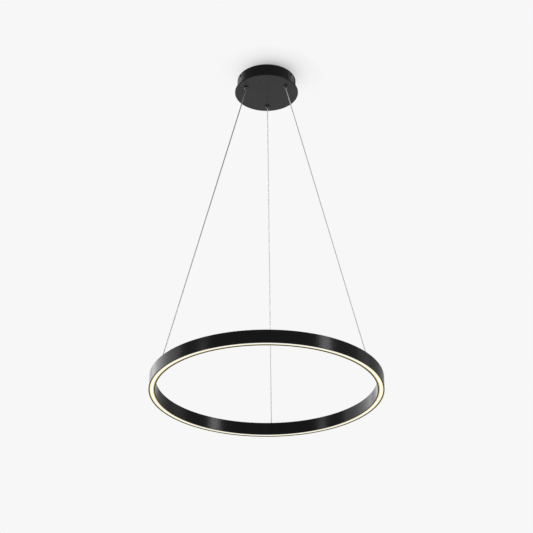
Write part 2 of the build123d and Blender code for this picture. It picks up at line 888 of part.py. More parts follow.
for number, angle in enumerate(cable_angles, 1):
    name = f"gripper_{number}"
    save(around(angle, gripper_body(), gripper_circle), f"{name}_body")
    save(around(angle, gripper_cap(), gripper_circle), f"{name}_cap")
    save(around(angle, gripper_plunger(), gripper_circle), f"{name}_plunger")
    save(around(angle, gripper_balls(), gripper_circle), f"{name}_balls")
    save(around(angle, gripper_spring(), gripper_circle), f"{name}_spring")
    save(free_cable(angle), f"cable_{number}")
    save(cable_tail(number - 1), f"cable_{number}_tail")
save(ring_profile(), "ring_profile")
save(ring_diffuser(), "ring_diffuser")
save(led_strip(), "led_strip")
save(led_chips(), "led_chips")
save(ring_splice(), "ring_splice")
save(splice_screws(), "splice_screws")
save(cable_bushes(), "cable_bushes")
save(cable_stops(), "cable_stops")
save(cable_ends(), "cable_ends")
save(ring_wires(), "ring_wires")
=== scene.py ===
import math

import bmesh
import bpy
from mathutils import Matrix, Vector


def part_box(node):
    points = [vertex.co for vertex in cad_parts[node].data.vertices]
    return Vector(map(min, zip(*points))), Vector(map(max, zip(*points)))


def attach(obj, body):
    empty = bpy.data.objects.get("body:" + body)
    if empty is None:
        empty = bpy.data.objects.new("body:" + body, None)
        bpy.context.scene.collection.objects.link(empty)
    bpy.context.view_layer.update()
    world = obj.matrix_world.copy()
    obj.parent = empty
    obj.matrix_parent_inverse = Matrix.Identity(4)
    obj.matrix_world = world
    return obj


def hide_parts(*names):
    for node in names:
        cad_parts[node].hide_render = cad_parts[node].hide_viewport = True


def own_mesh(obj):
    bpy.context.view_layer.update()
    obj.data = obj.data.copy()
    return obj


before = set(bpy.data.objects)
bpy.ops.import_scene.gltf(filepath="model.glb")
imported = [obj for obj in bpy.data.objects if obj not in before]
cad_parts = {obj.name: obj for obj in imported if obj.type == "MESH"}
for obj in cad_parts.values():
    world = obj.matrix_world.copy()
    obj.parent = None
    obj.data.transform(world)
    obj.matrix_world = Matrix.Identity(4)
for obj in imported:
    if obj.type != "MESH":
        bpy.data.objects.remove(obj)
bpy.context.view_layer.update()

# Camera
# It stands low in the room, three and a half metres off, and looks up at the whole light.
camera_place = (0.15707, -3.45894, -2.4656)
camera_rise = 28.31
camera_turn = 2.6
camera_lens = 99.75


def in_scene(name, data):
    """A new object that holds this data, linked to the scene."""
    made = bpy.data.objects.new(name, data)
    bpy.context.scene.collection.objects.link(made)
    return made


camera_data = bpy.data.cameras.new("room_view")
camera_data.lens = camera_lens
camera_data.sensor_width = 36.0
camera_data.clip_end = 60.0
camera = in_scene("room_view", camera_data)
camera.location = camera_place
camera.rotation_euler = (math.radians(90 + camera_rise), 0, math.radians(camera_turn))
bpy.context.scene.camera = camera
bpy.context.scene.view_settings.view_transform = "Standard"


# Ceiling bracket
# A pressed steel star, zinc plated, screwed flat to the ceiling through its two slots. Its three ears are
# bent down and tapped, and the canopy's wall is screwed to them from the side.


class Level:
    """A number that changes over a surface: a socket whose sums add Math nodes."""

    def __init__(self, socket):
        self.socket = socket

    @staticmethod
    def maths(operation, *parts):
        tree = next(part for part in parts if isinstance(part, Level)).socket.id_data
        node = tree.nodes.new("ShaderNodeMath")
        node.operation = operation
        for part, socket in zip(parts, node.inputs):
            if isinstance(part, Level):
                tree.links.new(part.socket, socket)
            else:
                socket.default_value = part
        return Level(node.outputs[0])

    def __add__(self, other):
        return Level.maths("ADD", self, other)

    def __radd__(self, other):
        return Level.maths("ADD", other, self)

    def __sub__(self, other):
        return Level.maths("SUBTRACT", self, other)

    def __rsub__(self, other):
        return Level.maths("SUBTRACT", other, self)

    def __mul__(self, other):
        return Level.maths("MULTIPLY", self, other)

    def __rmul__(self, other):
        return Level.maths("MULTIPLY", other, self)

    def __truediv__(self, other):
        return Level.maths("DIVIDE", self, other)

    def __gt__(self, other):
        return Level.maths("GREATER_THAN", self, other)

    def __lt__(self, other):
        return Level.maths("LESS_THAN", self, other)

    def __abs__(self):
        return Level.maths("ABSOLUTE", self)


class Bench:
    """A node tree that pieces and finishes are made on, and how values, links and nodes are put in it."""

    def __init__(self, tree):
        self.tree = tree

    def plug(self, value, socket):
        if isinstance(value, Level):
            self.tree.links.new(value.socket, socket)
        elif isinstance(value, tuple) and len(value) == 3 and socket.type == "RGBA":
            socket.default_value = (*value, 1.0)
        else:
            socket.default_value = value

    def node(self, kind, settings, sockets, output=0):
        """Adds a node: its settings come first, then each socket's value or link."""
        made = self.tree.nodes.new(kind)
        for name, value in settings.items():
            if name == "stops":
                ramp = made.color_ramp
                while len(ramp.elements) < len(value):
                    ramp.elements.new(0.5)
                for element, (place, tone) in zip(ramp.elements, value):
                    element.position = place
                    element.color = (*tone, 1.0)
            else:
                setattr(made, name, value)
        for name, value in sockets.items():
            self.plug(value, made.inputs[name])
        return Level(made.outputs[output])


def tone(red, green, blue):
    """A colour as it reads on a screen, 0 to 255, as the light it stands for."""
    shares = [value / 255 for value in (red, green, blue)]
    return tuple(s / 12.92 if s <= 0.04045 else ((s + 0.055) / 1.055) ** 2.4 for s in shares)


class Finish(Bench):
    """The finish of a kind of piece: one shader, and what varies it over the piece."""

    def __init__(self, name, **fixed):
        self.material = bpy.data.materials.new(name)
        self.material.use_nodes = True
        super().__init__(self.material.node_tree)
        self.shader = self.tree.nodes["Principled BSDF"]
        self.place = self.node("ShaderNodeTexCoord", {}, {}, "Object")
        self.set(**fixed)

    def set(self, **sockets):
        for name, value in sockets.items():
            self.plug(value, self.shader.inputs[name.replace("_", " ")])

    def along(self, axis):
        """The place on the piece along x, y or z, in metres."""
        return self.node("ShaderNodeSeparateXYZ", {}, {0: self.place}, axis)

    def radius(self):
        """The distance from the light's axis, in metres."""
        across, deep = self.along("X"), self.along("Y")
        return Level.maths("SQRT", across * across + deep * deep)

    def turn(self):
        """The angle about the light's axis, in radians."""
        return Level.maths("ARCTAN2", self.along("Y"), self.along("X"))

    def grain(self, size, detail=4.0, stretch=(1.0, 1.0, 1.0)):
        """Cloudy variation from 0 to 1, whose features are this many metres across."""
        scaled = tuple(s / size for s in stretch)
        place = self.node("ShaderNodeVectorMath", {"operation": "MULTIPLY"}, {0: self.place, 1: scaled})
        sockets = {"Vector": place, "Scale": 1.0, "Detail": detail, "Roughness": 0.5}
        return self.node("ShaderNodeTexNoise", {}, sockets, "Fac")

    def ramp(self, level, low, high):
        """Takes a level from 0 at the low value to 1 at the high one, with no overshoot."""
        settings = {"interpolation_type": "SMOOTHSTEP"}
        return self.node("ShaderNodeMapRange", settings, {"Value": level, 1: low, 2: high})

    def blend(self, share, first, second):
        """One colour going over into another."""
        return self.node("ShaderNodeMix", {"data_type": "RGBA"}, {0: share, 6: first, 7: second}, 2)

    def relief(self, height, depth, strength=1.0):
        """Small surface relief, as deep as this in metres."""
        return self.node("ShaderNodeBump", {}, {"Height": height, "Distance": depth, "Strength": strength})

    def box_edges(self, node, width):
        """1 along the edges of a boxy piece and 0 further in than the width."""
        low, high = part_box(node)
        near = []
        for axis, name in enumerate("XYZ"):
            middle, half = (low[axis] + high[axis]) / 2, (high[axis] - low[axis]) / 2
            near.append(self.ramp(abs(self.along(name) - middle), half - width, half))
        return Level.maths("MINIMUM", near[0] * near[1] + near[1] * near[2] + near[2] * near[0], 1.0)


def dress(finish, *nodes):
    """Gives a finish to pieces whose solids are shown as they are."""
    for name in nodes:
        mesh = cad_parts[name].data
        mesh.materials.clear()
        mesh.materials.append(finish.material)


def zinc_plate():
    """Bright zinc: a cloudy, faintly blue and yellow skin on steel, with fine drawing lines."""
    zinc = Finish("zinc_plate", Metallic=1.0)
    cloud = zinc.grain(0.006)
    lines = zinc.grain(0.0004, stretch=(1.0, 0.06, 1.0))
    dull = zinc.grain(0.03, detail=2.0)
    silver = zinc.blend(cloud, tone(172, 176, 182), tone(206, 203, 190))
    zinc.set(Base_Color=zinc.blend(zinc.ramp(dull, 0.5, 0.75) * 0.4, silver, tone(140, 142, 140)))
    zinc.set(Roughness=0.26 + cloud * 0.12 + lines * 0.1, Normal=zinc.relief(lines, 0.00002))
    return zinc


zinc_finish = zinc_plate()
dress(zinc_finish, "ceiling_bracket")


# Entry bush
# A soft black rubber ring pressed into the bracket's hole, so that the sheet doesn't cut the supply cable.


def black_rubber():
    """Moulded rubber: matt, a little dusty, with fine pitting."""
    rubber = Finish("black_rubber", Specular_IOR_Level=0.35)
    pits = rubber.grain(0.0006, detail=6.0)
    dust = rubber.ramp(rubber.grain(0.008, detail=5.0), 0.45, 0.8)
    rubber.set(Base_Color=rubber.blend(dust * 0.5, tone(30, 30, 31), tone(58, 57, 55)))
    rubber.set(Roughness=0.62 + dust * 0.2, Normal=rubber.relief(pits, 0.00005))
    return rubber


dress(black_rubber(), "cable_entry_bush")


# Earth connection
# A tinned copper tongue crimped on the green and yellow earth wire, held to the bracket by its own screw.


def tinned_copper():
    """Copper with a worn coat of tin."""
    copper = Finish("tinned_copper", Metallic=1.0)
    worn = copper.ramp(copper.grain(0.0025, detail=5.0), 0.42, 0.62)
    copper.set(Base_Color=copper.blend(worn, tone(208, 134, 98), tone(196, 188, 180)))
    copper.set(Roughness=0.3 + worn * 0.15, Normal=copper.relief(copper.grain(0.0005), 0.00003))
    return copper


def wire_cover(name, colour):
    """Thin PVC over stranded copper: glossy, with the strands' twist just showing."""
    cover = Finish(name, IOR=1.5)
    twist = cover.grain(0.0016, detail=2.0)
    scuff = cover.ramp(cover.grain(0.004, detail=6.0), 0.55, 0.75)
    pale = tuple(0.7 * c + 0.12 for c in colour)
    cover.set(Base_Color=cover.blend(scuff * 0.35, colour, pale))
    cover.set(Roughness=0.32 + scuff * 0.2, Normal=cover.relief(twist, 0.00006))
    return cover


def earth_cover():
    """Green PVC with a yellow stripe on each side."""
    cover = wire_cover("earth_cover", tone(38, 122, 62))
    stripe_half = 0.0005
    wire_radius = 0.0012
    screw_low, screw_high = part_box("earth_screw")
    rise_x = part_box("earth_wire")[0].x + wire_radius
    screw_y = (screw_low.y + screw_high.y) / 2
    beside_rise = abs(cover.along("X") - rise_x) < stripe_half
    beside_screw = abs(cover.along("Y") - screw_y) < stripe_half
    striped = Level.maths("MAXIMUM", beside_rise, beside_screw)
    cover.set(Base_Color=cover.blend(striped, tone(38, 122, 62), tone(222, 196, 44)))
    return cover


dress(zinc_finish, "earth_screw")
dress(tinned_copper(), "earth_lug")
dress(earth_cover(), "earth_wire")


# Canopy wall
# A spun aluminium hoop, anodised black, with an inward flange that is screwed down on the base plate.
# Three side screws go through it just under the ceiling.


class Recipe(Bench):
    """A Geometry Nodes tree for one kind of shape, with a named input for each of its sizes."""

    def __init__(self, name, inputs):
        super().__init__(bpy.data.node_groups.new(name, "GeometryNodeTree"))
        face = self.tree.interface
        face.new_socket("Geometry", in_out="INPUT", socket_type="NodeSocketGeometry")
        face.new_socket("Geometry", in_out="OUTPUT", socket_type="NodeSocketGeometry")
        for label, kind in {**inputs, "Finish": "Material"}.items():
            face.new_socket(label, in_out="INPUT", socket_type="NodeSocket" + kind)
        self.entry = self.tree.nodes.new("NodeGroupInput")

    def given(self, label):
        return Level(self.entry.outputs[label])

    def close(self, geometry):
        """Ends the tree with real, dressed mesh that is smooth but for its sharp edges."""
        angle = self.node("GeometryNodeInputMeshEdgeAngle", {}, {}, "Unsigned Angle")
        crease = math.radians(35)
        smooth = {"Geometry": geometry, "Shade Smooth": True}
        smooth = self.node("GeometryNodeSetShadeSmooth", {"domain": "FACE"}, smooth)
        sharp = {"Geometry": smooth, "Selection": angle > crease, "Shade Smooth": False}
        sharp = self.node("GeometryNodeSetShadeSmooth", {"domain": "EDGE"}, sharp)
        real = self.node("GeometryNodeRealizeInstances", {}, {"Geometry": sharp})
        dressed = {"Geometry": real, "Material": self.given("Finish")}
        dressed = self.node("GeometryNodeSetMaterial", {}, dressed)
        self.plug(dressed, self.tree.nodes.new("NodeGroupOutput").inputs["Geometry"])

    def make(self, name, data, sizes, finish):
        """Runs the tree on the data and gives its result as a plain mesh."""
        holder = in_scene(name + "_pattern", data)
        modifier = holder.modifiers.new("shape", "NODES")
        modifier.node_group = self.tree
        values = {**sizes, "Finish": finish.material}
        for item in self.tree.interface.items_tree:
            if item.in_out == "INPUT" and item.name in values:
                modifier[item.identifier] = values[item.name]
        bpy.context.view_layer.update()
        graph = bpy.context.evaluated_depsgraph_get()
        mesh = bpy.data.meshes.new_from_object(holder.evaluated_get(graph))
        bpy.data.objects.remove(holder)
        return mesh


def lathe_recipe():
    """Turns a section about the upright axis. Each point of the section brings its own corner round."""
    recipe = Recipe("turned_piece", {"Radius": "Float", "Steps": "Int", "Corner Steps": "Int"})
    rounds = {
        "Curve": recipe.given("Geometry"),
        "Count": recipe.given("Corner Steps"),
        "Radius": recipe.node("GeometryNodeInputRadius", {}, {}),
        "Limit Radius": True,
    }
    rounded = recipe.node("GeometryNodeFilletCurve", {"mode": "POLY"}, rounds)
    upright = recipe.node("GeometryNodeTransform", {}, {"Geometry": rounded, "Rotation": (math.pi, 0.0, 0.0)})
    circle = {"Resolution": recipe.given("Steps"), "Radius": recipe.given("Radius")}
    circle = recipe.node("GeometryNodeCurvePrimitiveCircle", {"mode": "RADIUS"}, circle)
    swept = recipe.node("GeometryNodeCurveToMesh", {}, {"Curve": circle, "Profile Curve": upright})
    recipe.close(recipe.node("GeometryNodeMergeByDistance", {}, {"Geometry": swept, "Distance": 1e-6}))
    return recipe


lathe = lathe_recipe()


def section_curve(name, outlines, radius, closed):
    """A section's outlines as a curve. A point is (radius, height) or (radius, height, corner round)."""
    curve = bpy.data.curves.new(name, "CURVE")
    curve.dimensions = "3D"
    for outline in outlines:
        spline = curve.splines.new("POLY")
        spline.points.add(len(outline) - 1)
        spline.use_cyclic_u = closed
        for point, corner in zip(spline.points, outline):
            point.co = (corner[0] - radius, corner[1], 0.0, 1.0)
            point.radius = corner[2] if len(corner) > 2 else 0.0
    return curve


def facing_out(mesh):
    """Turns a closed shell's faces outward if they point in."""
    shell = bmesh.new()
    shell.from_mesh(mesh)
    if shell.calc_volume(signed=True) < 0:
        bmesh.ops.reverse_faces(shell, faces=shell.faces)
        shell.to_mesh(mesh)
    shell.free()
    return mesh


def turned(name, outlines, finish, steps, closed=True):
    """The mesh of a section turned about the upright axis. An open section starts and ends on that axis."""
    radius = max(corner[0] for corner in outlines[0])
    data = section_curve(name, outlines, radius, closed)
    sizes = {"Radius": radius, "Steps": steps, "Corner Steps": 4}
    return facing_out(lathe.make(name, data, sizes, finish))


def drilled(mesh, *tools):
    """Cuts the tools out of a mesh, and keeps flat faces flat beside their rounded edges."""
    piece = in_scene("blank", mesh)
    cutters = []
    for tool in tools:
        cutter = in_scene("cutter", tool)
        cut = piece.modifiers.new("cut", "BOOLEAN")
        cut.operation = "DIFFERENCE"
        cut.solver = "EXACT"
        cut.object = cutter
        cutters.append(cutter)
    level = piece.modifiers.new("level", "WEIGHTED_NORMAL")
    level.keep_sharp = True
    bpy.context.view_layer.update()
    graph = bpy.context.evaluated_depsgraph_get()
    result = bpy.data.meshes.new_from_object(piece.evaluated_get(graph))
    for spent in (piece, *cutters):
        bpy.data.objects.remove(spent)
    return result


def drill_bits(radius, length, places, steps=48):
    """Round drills, one at each placing matrix, along its z axis."""
    bits = bmesh.new()
    for place in places:
        bmesh.ops.create_cone(
            bits, cap_ends=True, segments=steps, radius1=radius, radius2=radius, depth=length, matrix=place
        )
    mesh = bpy.data.meshes.new("bits")
    bits.to_mesh(mesh)
    bits.free()
    return mesh


def around(angle, radius, height=0.0):
    """The placing matrix at an angle in degrees about the light's axis."""
    return Matrix.Rotation(math.radians(angle), 4, "Z") @ Matrix.Translation((radius, 0.0, height))


def show(name, mesh, body, slot, *nodes):
    """A finished piece that rides on a body and stands for its solids."""
    mesh.name = name
    piece = in_scene(name, mesh)
    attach(piece, body)
    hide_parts(*nodes)
    return piece


def black_anodised(name, edges, painted_light_within=0.0):
    """Brushed and black anodised aluminium: satin, with fine upright brush lines and paler worn edges. Within
    a given distance of the light's axis it is painted greyer: painted light on the plate's flat faces,
    standing in for the light they reflect."""
    black = Finish(name, IOR=1.2)
    lines = black.grain(0.0005, detail=3.0, stretch=(1.0, 1.0, 0.03))
    bands = black.grain(0.012, detail=3.0, stretch=(1.0, 1.0, 0.15))
    smudge = black.ramp(black.grain(0.05, detail=4.0), 0.5, 0.8)
    flat = black.blend(bands, tone(10, 10, 11), tone(16, 16, 17))
    # Painted light: within this radius the colour goes over to a paler grey, which stands in for the light
    # the plate's flat faces reflect.
    inside = black.ramp(black.radius(), painted_light_within, painted_light_within - 0.0004)
    flat = black.blend(inside, flat, black.blend(bands, tone(46, 46, 47), tone(55, 55, 56)))
    worn = edges(black) * black.ramp(black.grain(0.0015, detail=5.0), 0.35, 0.7)
    black.set(Base_Color=black.blend(worn * 0.15, flat, tone(64, 63, 61)))
    black.set(Roughness=0.15 + lines * 0.05 + bands * 0.02 + smudge * 0.03)
    black.set(Normal=black.relief(lines, 0.00001))
    return black


def turned_edges(*rims):
    """The worn rims of a turned piece: each is a radius, a height and the wear's width."""

    def edges(finish):
        worn = 0.0
        for radius, height, width in rims:
            beside = abs(finish.radius() - radius) / width
            above = abs(finish.along("Z") - height) / width
            near = 1.0 - Level.maths("MAXIMUM", beside, above)
            worn = Level.maths("MAXIMUM", near, worn)
        return worn

    return edges


wall_radius = 0.0828
wall_sheet = 0.0012
wall_top = -0.0005
wall_edge = 0.0004
wall_wear = 0.0008
flange_width = 0.009
plate_top = -0.0371
cable_angles = (90.0, 210.0, 330.0)
side_screw_height = -0.0075
small_hole = 0.00165
sheet_bit = 0.006
flange_screw_circle = 0.0766

wall_inside = wall_radius - wall_sheet
flange_inside = wall_inside - flange_width
flange_top = plate_top + wall_sheet
wall_outline = [
    (flange_inside, plate_top, wall_edge),
    (wall_radius, plate_top, wall_edge),
    (wall_radius, wall_top, wall_edge),
    (wall_inside, wall_top, wall_edge),
    (wall_inside, flange_top, wall_edge),
    (flange_inside, flange_top, wall_edge),
]
wall_finish = black_anodised(
    "canopy_black", turned_edges((wall_radius, wall_top, wall_wear), (wall_radius, plate_top, wall_wear))
)
sideways = Matrix.Rotation(math.radians(90), 4, "Y")
side_holes = [around(angle, wall_radius, side_screw_height) @ sideways for angle in cable_angles]
flange_holes = [around(angle + 60.0, flange_screw_circle, plate_top) for angle in cable_angles]
wall_mesh = drilled(
    turned("canopy_hoop", [wall_outline], wall_finish, steps=240),
    drill_bits(small_hole, sheet_bit, side_holes + flange_holes),
)
show("canopy_hoop", wall_mesh, "canopy", "black_anodised", "canopy_wall")


# Base plate
# A turned aluminium disc, wider than the wall above it, anodised black, with rounded rims. It carries the
# grippers, the driver and the blocks.

plate_radius = 0.0895
plate_bottom = -0.0411
plate_round = 0.0009
plate_wear = 0.0012
plate_bit = 0.02
gripper_circle = 0.0645
stem_hole = 0.005

plate_outline = [
    (0.0, plate_bottom),
    (plate_radius, plate_bottom, plate_round),
    (plate_radius, plate_top, plate_round),
    (0.0, plate_top),
]
plate_finish = black_anodised(
    "plate_black",
    turned_edges((plate_radius, plate_bottom, plate_wear), (plate_radius, plate_top, plate_wear)),
    painted_light_within=plate_radius - 2 * plate_round,
)
stem_holes = [around(angle, gripper_circle, plate_bottom) for angle in cable_angles]
plate_mesh = drilled(
    turned("canopy_plate", [plate_outline], plate_finish, steps=240, closed=False),
    drill_bits(stem_hole, plate_bit, stem_holes),
)
show("canopy_plate", plate_mesh, "canopy", "black_anodised", "canopy_base_plate")


# Side screws
# Three slotted screws with low round heads, blackened, through the wall into the bracket's ears.


def spread_recipe():
    """Copies one part round the light's axis at even angles."""
    recipe = Recipe("spread_round", {"Count": "Int", "First Angle": "Float", "Step Angle": "Float"})
    spots = {"Count": recipe.given("Count"), "Offset": (0.0, 0.0, 0.0)}
    spots = recipe.node("GeometryNodeMeshLine", {}, spots)
    further = recipe.node("GeometryNodeInputIndex", {}, {}) * recipe.given("Step Angle")
    spin = recipe.node("ShaderNodeCombineXYZ", {}, {"Z": recipe.given("First Angle") + further})
    copies = {"Points": spots, "Instance": recipe.given("Geometry"), "Rotation": spin}
    copies = recipe.node("GeometryNodeInstanceOnPoints", {}, copies)
    recipe.close(recipe.node("GeometryNodeRealizeInstances", {}, {"Geometry": copies}))
    return recipe


spread = spread_recipe()


def spread_round(mesh, finish):
    """The mesh of a part repeated at each cable's angle about the light's axis."""
    first, count = cable_angles[0], len(cable_angles)
    sizes = {"Count": count, "First Angle": math.radians(first), "Step Angle": math.radians(360.0 / count)}
    return spread.make("spread", mesh, sizes, finish)


def blackened_steel():
    """Oil-blackened steel: nearly black and dull, with brown showing through."""
    steel = Finish("blackened_steel", IOR=1.3)
    rust = steel.ramp(steel.grain(0.0012, detail=5.0), 0.5, 0.75)
    rub = steel.grain(0.0003, detail=3.0, stretch=(1.0, 1.0, 0.2))
    steel.set(Base_Color=steel.blend(rust, tone(9, 9, 10), tone(20, 17, 15)))
    steel.set(Roughness=0.5 + rub * 0.2 - rust * 0.1, Normal=steel.relief(rub, 0.00002))
    return steel


def box_bit(place, width, depth, height):
    """A box-shaped cutter, with its middle at the placing matrix."""
    box = bmesh.new()
    bmesh.ops.create_cube(box, size=1.0, matrix=place @ Matrix.Diagonal((width, depth, height, 1.0)))
    mesh = bpy.data.meshes.new("box_bit")
    box.to_mesh(mesh)
    box.free()
    return mesh


def round_headed(head, height, shank, length, finish):
    """A slotted round-headed screw pointing down, with the underside of its head at height 0."""
    outline = [
        (0.0, -length),
        (shank, -length, shank * 0.4),
        (shank, 0.0),
        (head, 0.0, height * 0.1),
        (head, height, height * 0.7),
        (0.0, height),
    ]
    blank = turned("screw", [outline], finish, steps=32, closed=False)
    slot_place = Matrix.Translation((0.0, 0.0, height * 1.05))
    return drilled(blank, box_bit(slot_place, head * 2.4, head * 0.28, height))


screw_shank = 0.0015
screw_head = 0.0028
screw_head_height = 0.002
side_screw_length = 0.005
black_steel_finish = blackened_steel()
side_screw = round_headed(screw_head, screw_head_height, screw_shank, side_screw_length, black_steel_finish)
side_screw.transform(Matrix.Translation((wall_radius, 0.0, side_screw_height)) @ sideways)
show(
    "side_screws_turned",
    spread_round(side_screw, black_steel_finish),
    "canopy",
    "black_metal",
    "canopy_side_screws",
)


# Screws on the base plate
# Zinc-plated screws that hold the wall's flange, the driver and the two blocks down on the plate, and the
# ones that close the driver's case.

dress(zinc_finish, "base_plate_screws", "fixing_screws", "driver_case_screws")


# Driver
# A white two-part plastic case with a small circuit board, a transformer and two capacitors in it. It turns
# the supply into the lamp's low voltage.


def moulded_plastic(name, colour, node):
    """Spark-eroded plastic: a fine even texture, faint flow marks, rubbed edges."""
    plastic = Finish(name, IOR=1.46)
    texture = plastic.grain(0.0005, detail=2.0)
    flow = plastic.grain(0.02, detail=3.0, stretch=(1.0, 0.4, 1.0))
    edge = plastic.box_edges(node, 0.0012)
    grime = tuple(c * 0.8 for c in colour)
    rubbed = tuple(c + (0.9 - c) * 0.25 for c in colour)
    base = plastic.blend(plastic.ramp(flow, 0.45, 0.8) * 0.5, colour, grime)
    plastic.set(Base_Color=plastic.blend(edge * 0.5, base, rubbed))
    plastic.set(Roughness=0.42 + texture * 0.12 - edge * 0.1, Normal=plastic.relief(texture, 0.00003))
    return plastic


def printed_board():
    """Green lacquer over copper tracks, with bare tinned pads."""
    board = Finish("printed_board", IOR=1.55)
    tracks = {"Vector": board.place, "Scale": 260.0, "Mortar Size": 0.03, "Mortar Smooth": 0.3}
    tracks = board.node("ShaderNodeTexBrick", {}, tracks, "Fac")
    pads = board.node("ShaderNodeTexVoronoi", {}, {"Vector": board.place, "Scale": 190.0}, "Distance")
    bare = pads < 0.16
    green = board.blend(tracks, tone(22, 92, 52), tone(48, 128, 70))
    board.set(Base_Color=board.blend(bare, green, tone(198, 190, 176)), Metallic=bare * 0.9)
    board.set(Roughness=0.3 + board.grain(0.002) * 0.15, Normal=board.relief(tracks, 0.00004))
    return board


def transformer_winding():
    """A dark ferrite core with yellow tape round its winding, which stands out on both sides."""
    part = Finish("transformer_winding", IOR=1.5)
    low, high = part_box("driver_transformer")
    middle, half = (low.y + high.y) / 2, (high.y - low.y) / 2
    tape = abs(part.along("Y") - middle) > half - 0.0014
    wrap = part.grain(0.0007, detail=2.0, stretch=(0.05, 1.0, 1.0))
    ferrite = part.blend(part.grain(0.0008, detail=5.0), tone(44, 43, 42), tone(70, 68, 66))
    yellow = part.blend(wrap, tone(226, 178, 52), tone(240, 202, 96))
    part.set(Base_Color=part.blend(tape, ferrite, yellow))
    part.set(Roughness=0.55 - tape * 0.25 + wrap * 0.08, Normal=part.relief(wrap, 0.00004))
    return part


def capacitor_sleeve():
    """A shrunk dark blue sleeve round a bright aluminium can, whose top is bare."""
    part = Finish("capacitor_sleeve", IOR=1.5)
    low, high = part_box("driver_capacitors")
    bare = part.along("Z") > high.z - 0.0005
    stripe = abs(part.along("Y") - (low.y + high.y) / 2) < 0.0011
    sleeve = part.blend(stripe, tone(26, 34, 66), tone(150, 156, 170))
    silver = part.blend(part.grain(0.0008), tone(182, 184, 186), tone(212, 212, 210))
    part.set(Base_Color=part.blend(bare, sleeve, silver), Metallic=bare * 1.0)
    part.set(Roughness=0.3 + part.grain(0.0012) * 0.15, Normal=part.relief(part.grain(0.0012), 0.00003))
    return part


case_white = tone(226, 225, 220)
dress(moulded_plastic("case_base_white", case_white, "driver_case_base"), "driver_case_base")
dress(moulded_plastic("case_lid_white", case_white, "driver_case_lid"), "driver_case_lid")
dress(printed_board(), "driver_board")
dress(transformer_winding(), "driver_transformer")
dress(capacitor_sleeve(), "driver_capacitors")


# Terminal blocks and wires
# A grey block joins the supply to the driver, and a smaller one joins the driver to the cables. Each way has
# two clamp screws, and the wires are PVC covered.

block_grey = tone(186, 188, 190)
dress(moulded_plastic("supply_block_grey", block_grey, "supply_terminal_block"), "supply_terminal_block")
dress(moulded_plastic("lamp_block_grey", block_grey, "lamp_terminal_block"), "lamp_terminal_block")
dress(zinc_finish, "supply_terminal_screws", "lamp_terminal_screws")
dress(wire_cover("live_brown", tone(104, 62, 38)), "live_wire")
dress(wire_cover("neutral_blue", tone(46, 98, 178)), "neutral_wire")
red_finish = wire_cover("lamp_red", tone(176, 40, 36))
dress(red_finish, "lamp_wires")


# Cable grippers
# Each is a blackened brass body screwed through the plate with a nut inside. Three steel balls in a sprung
# nozzle wedge the cable in the body's cone; pressing the nozzle up lets the cable run.

collar_radius = 0.006
collar_bottom = -0.0469
collar_round = 0.0024
stem_radius = 0.0049
stem_top = -0.0251
bore_radius = 0.00315
cone_low = (0.00325, -0.0391)
cone_high = (0.004, -0.0351)

body_outline = [
    (bore_radius, collar_bottom, 0.0002),
    (collar_radius, collar_bottom, collar_round),
    (collar_radius, plate_bottom, 0.0002),
    (stem_radius, plate_bottom),
    (stem_radius, stem_top, 0.0002),
    (cone_high[0], stem_top, 0.0002),
    cone_high,
    cone_low,
    (bore_radius, cone_low[1]),
]

nozzle_radius = 0.0031
nozzle_bottom = -0.0491
nozzle_round = 0.0004
nozzle_mouth = 0.0005
cable_hole = 0.0016
flange_low = -0.0359
flange_high = -0.0347
flange_radius = 0.0038
ball_hole = 0.00098
ball_bit = 0.004
ball_height = -0.03815

nozzle_outline = [
    (cable_hole + nozzle_mouth, nozzle_bottom),
    (nozzle_radius, nozzle_bottom, nozzle_round),
    (nozzle_radius, flange_low, 0.0001),
    (flange_radius, flange_low, 0.0001),
    (flange_radius, flange_high, 0.0001),
    (cable_hole, flange_high, 0.0001),
    (cable_hole, nozzle_bottom + nozzle_mouth),
]

spring_wire = 0.00025
spring_radius = 0.0029
spring_turns = 5.0
spring_seat = -0.03465
spring_roof = -0.02715
spring_low = spring_seat + spring_wire
spring_high = spring_roof - spring_wire


def spring_recipe():
    """Winds a round wire into a coil, from the bottom up."""
    recipe = Recipe(
        "wound_spring",
        {"Coil Radius": "Float", "Wire Radius": "Float", "Turns": "Float", "Rise": "Float", "Steps": "Int"},
    )
    coil = {
        "Resolution": recipe.given("Steps"),
        "Rotations": recipe.given("Turns"),
        "Start Radius": recipe.given("Coil Radius"),
        "End Radius": recipe.given("Coil Radius"),
        "Height": recipe.given("Rise"),
    }
    coil = recipe.node("GeometryNodeCurveSpiral", {}, coil)
    wire = {"Resolution": 12, "Radius": recipe.given("Wire Radius")}
    wire = recipe.node("GeometryNodeCurvePrimitiveCircle", {"mode": "RADIUS"}, wire)
    swept = {"Curve": coil, "Profile Curve": wire, "Fill Caps": True}
    recipe.close(recipe.node("GeometryNodeCurveToMesh", {}, swept))
    return recipe


def spring_steel():
    """Drawn spring wire: bright, with fine lines and a film of oil."""
    steel = Finish("spring_steel", Metallic=1.0)
    film = steel.grain(0.001, detail=4.0)
    steel.set(Base_Color=steel.blend(film, tone(150, 150, 152), tone(190, 188, 182)))
    steel.set(Roughness=0.22 + film * 0.14, Normal=steel.relief(steel.grain(0.0002), 0.00001))
    return steel


def gripper_black():
    """Black chrome on turned brass: fine turning rings, and worn spots where the brass shows faintly."""
    black = Finish("gripper_black", IOR=1.7)
    rings = black.grain(0.00018, detail=2.0, stretch=(0.02, 0.02, 1.0))
    worn = black.ramp(black.grain(0.0009, detail=5.0), 0.62, 0.78)
    black.set(Base_Color=black.blend(worn * 0.4, tone(14, 14, 15), tone(74, 66, 52)))
    black.set(Roughness=0.16 + rings * 0.1, Normal=black.relief(rings, 0.00001))
    return black


